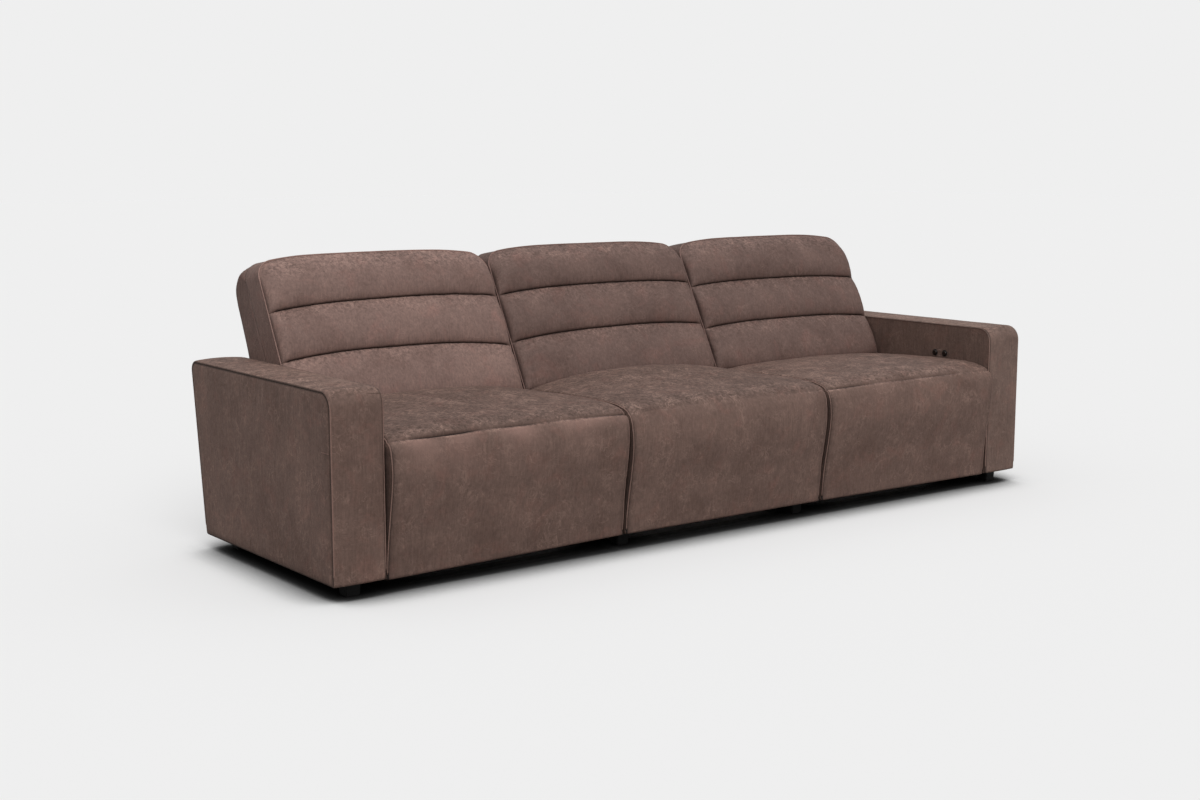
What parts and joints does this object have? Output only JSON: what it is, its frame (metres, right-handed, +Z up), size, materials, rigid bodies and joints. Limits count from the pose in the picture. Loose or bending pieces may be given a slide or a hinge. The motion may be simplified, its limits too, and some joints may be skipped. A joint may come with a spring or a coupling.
{
  "type": "reclining sofa",
  "caption": "Three-seat power reclining sofa with padded arms, channelled back cushions, sliding end seats with hinged footrests, push buttons and low block feet.",
  "frame": {"origin": "on the floor under the middle of the sofa's bounding box", "axes": "+Z up, +Y towards the back, +X along the seats to the right as seen from the front"},
  "size_m": [2.88, 0.9674, 0.91],
  "materials": {
    "microfibre": "matt distressed suede-like microfibre, grey-brown",
    "frame_wood": "raw plywood and softwood",
    "steel_black": "black powder coat",
    "steel_bright": "zinc-plated steel",
    "plastic_black": "black moulded plastic",
    "foot_black": "black moulded block",
    "button_dark": "dark plated dome"
  },
  "bodies": {
    "root": {"left_arm_cover": "microfibre", "left_arm_frame": "frame_wood", "left_switch_housing": "plastic_black", "right_arm_cover": "microfibre", "right_arm_frame": "frame_wood", "right_switch_housing": "plastic_black", "feet": "foot_black", "base_fixings": "steel_black", "left_base_frame": "frame_wood", "middle_base_frame": "frame_wood", "right_base_frame": "frame_wood", "rear_base_panels": "microfibre", "guide_rails": "steel_black", "middle_seat_frame": "frame_wood", "middle_seat_springs": "steel_bright", "middle_seat_cushion": "microfibre", "middle_front_pad": "microfibre", "middle_back_frame": "frame_wood", "middle_back_cushion": "microfibre", "middle_back_cover": "microfibre", "middle_back_supports": "frame_wood", "control_box": "plastic_black"},
    "left_carriage": {"left_carriage_frame": "steel_black", "left_seat_frame": "frame_wood", "left_seat_springs": "steel_bright", "left_seat_cushion": "microfibre", "left_hinge_seat_leaf": "steel_black", "left_actuator": "plastic_black"},
    "left_footrest": {"left_hinge_footrest_leaf": "steel_black", "left_footrest_board": "frame_wood", "left_footrest_pad": "microfibre", "left_footrest_brackets": "steel_black"},
    "left_torque_tube": {"left_torque_tube": "steel_black"},
    "left_drive_links": {"left_drive_links": "steel_black"},
    "left_actuator_rod": {"left_actuator_rod": "steel_bright"},
    "left_back": {"left_back_frame": "frame_wood", "left_back_cushion": "microfibre", "left_back_cover": "microfibre", "left_back_brackets": "steel_black"},
    "left_open_button": {"left_open_button": "button_dark"},
    "left_close_button": {"left_close_button": "button_dark"},
    "right_carriage": {"right_carriage_frame": "steel_black", "right_seat_frame": "frame_wood", "right_seat_springs": "steel_bright", "right_seat_cushion": "microfibre", "right_hinge_seat_leaf": "steel_black", "right_actuator": "plastic_black"},
    "right_footrest": {"right_hinge_footrest_leaf": "steel_black", "right_footrest_board": "frame_wood", "right_footrest_pad": "microfibre", "right_footrest_brackets": "steel_black"},
    "right_torque_tube": {"right_torque_tube": "steel_black"},
    "right_drive_links": {"right_drive_links": "steel_black"},
    "right_actuator_rod": {"right_actuator_rod": "steel_bright"},
    "right_back": {"right_back_frame": "frame_wood", "right_back_cushion": "microfibre", "right_back_cover": "microfibre", "right_back_brackets": "steel_black"},
    "right_open_button": {"right_open_button": "button_dark"},
    "right_close_button": {"right_close_button": "button_dark"}
  },
  "joints": [
    {"name": "left_seat_slide", "type": "slide", "parent": "root", "child": "left_carriage", "axis": [0, -1, 0], "range_m": [0, 0.11]},
    {"name": "left_recline", "type": "hinge", "parent": "left_carriage", "child": "left_back", "pos_m": [-0.85, 0.142, 0.4], "axis": [-1, 0, 0], "range_deg": [0, 28]},
    {"name": "left_footrest_swing", "type": "hinge", "parent": "left_carriage", "child": "left_footrest", "pos_m": [-0.85, -0.449, 0.423], "axis": [-1, 0, 0], "range_deg": [0, 85]},
    {"name": "left_torque_turn", "type": "hinge", "parent": "left_carriage", "child": "left_torque_tube", "pos_m": [-0.85, -0.128, 0.25], "axis": [-1, 0, 0], "range_deg": [0, 85]},
    {"name": "left_link_swing", "type": "hinge", "parent": "left_torque_tube", "child": "left_drive_links", "pos_m": [-0.85, -0.04851, 0.12279], "axis": [-1, 0, 0], "range_deg": [-85, 0]},
    {"name": "left_rod_stroke", "type": "slide", "parent": "left_carriage", "child": "left_actuator_rod", "axis": [0, -1, 0], "range_m": [0, 0.0863]},
    {"name": "left_open_press", "type": "slide", "parent": "root", "child": "left_open_button", "axis": [-1, 0, 0], "range_m": [0, 0.0015], "stiffness_N_per_m": 400, "springref_m": -0.0008},
    {"name": "left_close_press", "type": "slide", "parent": "root", "child": "left_close_button", "axis": [-1, 0, 0], "range_m": [0, 0.0015], "stiffness_N_per_m": 400, "springref_m": -0.0008},
    {"name": "right_seat_slide", "type": "slide", "parent": "root", "child": "right_carriage", "axis": [0, -1, 0], "range_m": [0, 0.11]},
    {"name": "right_recline", "type": "hinge", "parent": "right_carriage", "child": "right_back", "pos_m": [0.85, 0.142, 0.4], "axis": [-1, 0, 0], "range_deg": [0, 28]},
    {"name": "right_footrest_swing", "type": "hinge", "parent": "right_carriage", "child": "right_footrest", "pos_m": [0.85, -0.449, 0.423], "axis": [-1, 0, 0], "range_deg": [0, 85]},
    {"name": "right_torque_turn", "type": "hinge", "parent": "right_carriage", "child": "right_torque_tube", "pos_m": [0.85, -0.128, 0.25], "axis": [-1, 0, 0], "range_deg": [0, 85]},
    {"name": "right_link_swing", "type": "hinge", "parent": "right_torque_tube", "child": "right_drive_links", "pos_m": [0.85, -0.04851, 0.12279], "axis": [-1, 0, 0], "range_deg": [-85, 0]},
    {"name": "right_rod_stroke", "type": "slide", "parent": "right_carriage", "child": "right_actuator_rod", "axis": [0, -1, 0], "range_m": [0, 0.0863]},
    {"name": "right_open_press", "type": "slide", "parent": "root", "child": "right_open_button", "axis": [1, 0, 0], "range_m": [0, 0.0015], "stiffness_N_per_m": 400, "springref_m": -0.0008},
    {"name": "right_close_press", "type": "slide", "parent": "root", "child": "right_close_button", "axis": [1, 0, 0], "range_m": [0, 0.0015], "stiffness_N_per_m": 400, "springref_m": -0.0008}
  ],
  "couplings": [
    {"joint": "left_recline", "follows": "left_seat_slide", "rad_per_m": 4.4426},
    {"joint": "left_torque_turn", "follows": "left_footrest_swing", "ratio": 1},
    {"joint": "left_link_swing", "follows": "left_footrest_swing", "ratio": -1},
    {"joint": "left_rod_stroke", "follows": "left_footrest_swing", "m_per_rad": 0.05815},
    {"joint": "right_recline", "follows": "right_seat_slide", "rad_per_m": 4.4426},
    {"joint": "right_torque_turn", "follows": "right_footrest_swing", "ratio": 1},
    {"joint": "right_link_swing", "follows": "right_footrest_swing", "ratio": -1},
    {"joint": "right_rod_stroke", "follows": "right_footrest_swing", "m_per_rad": 0.05815}
  ]
}
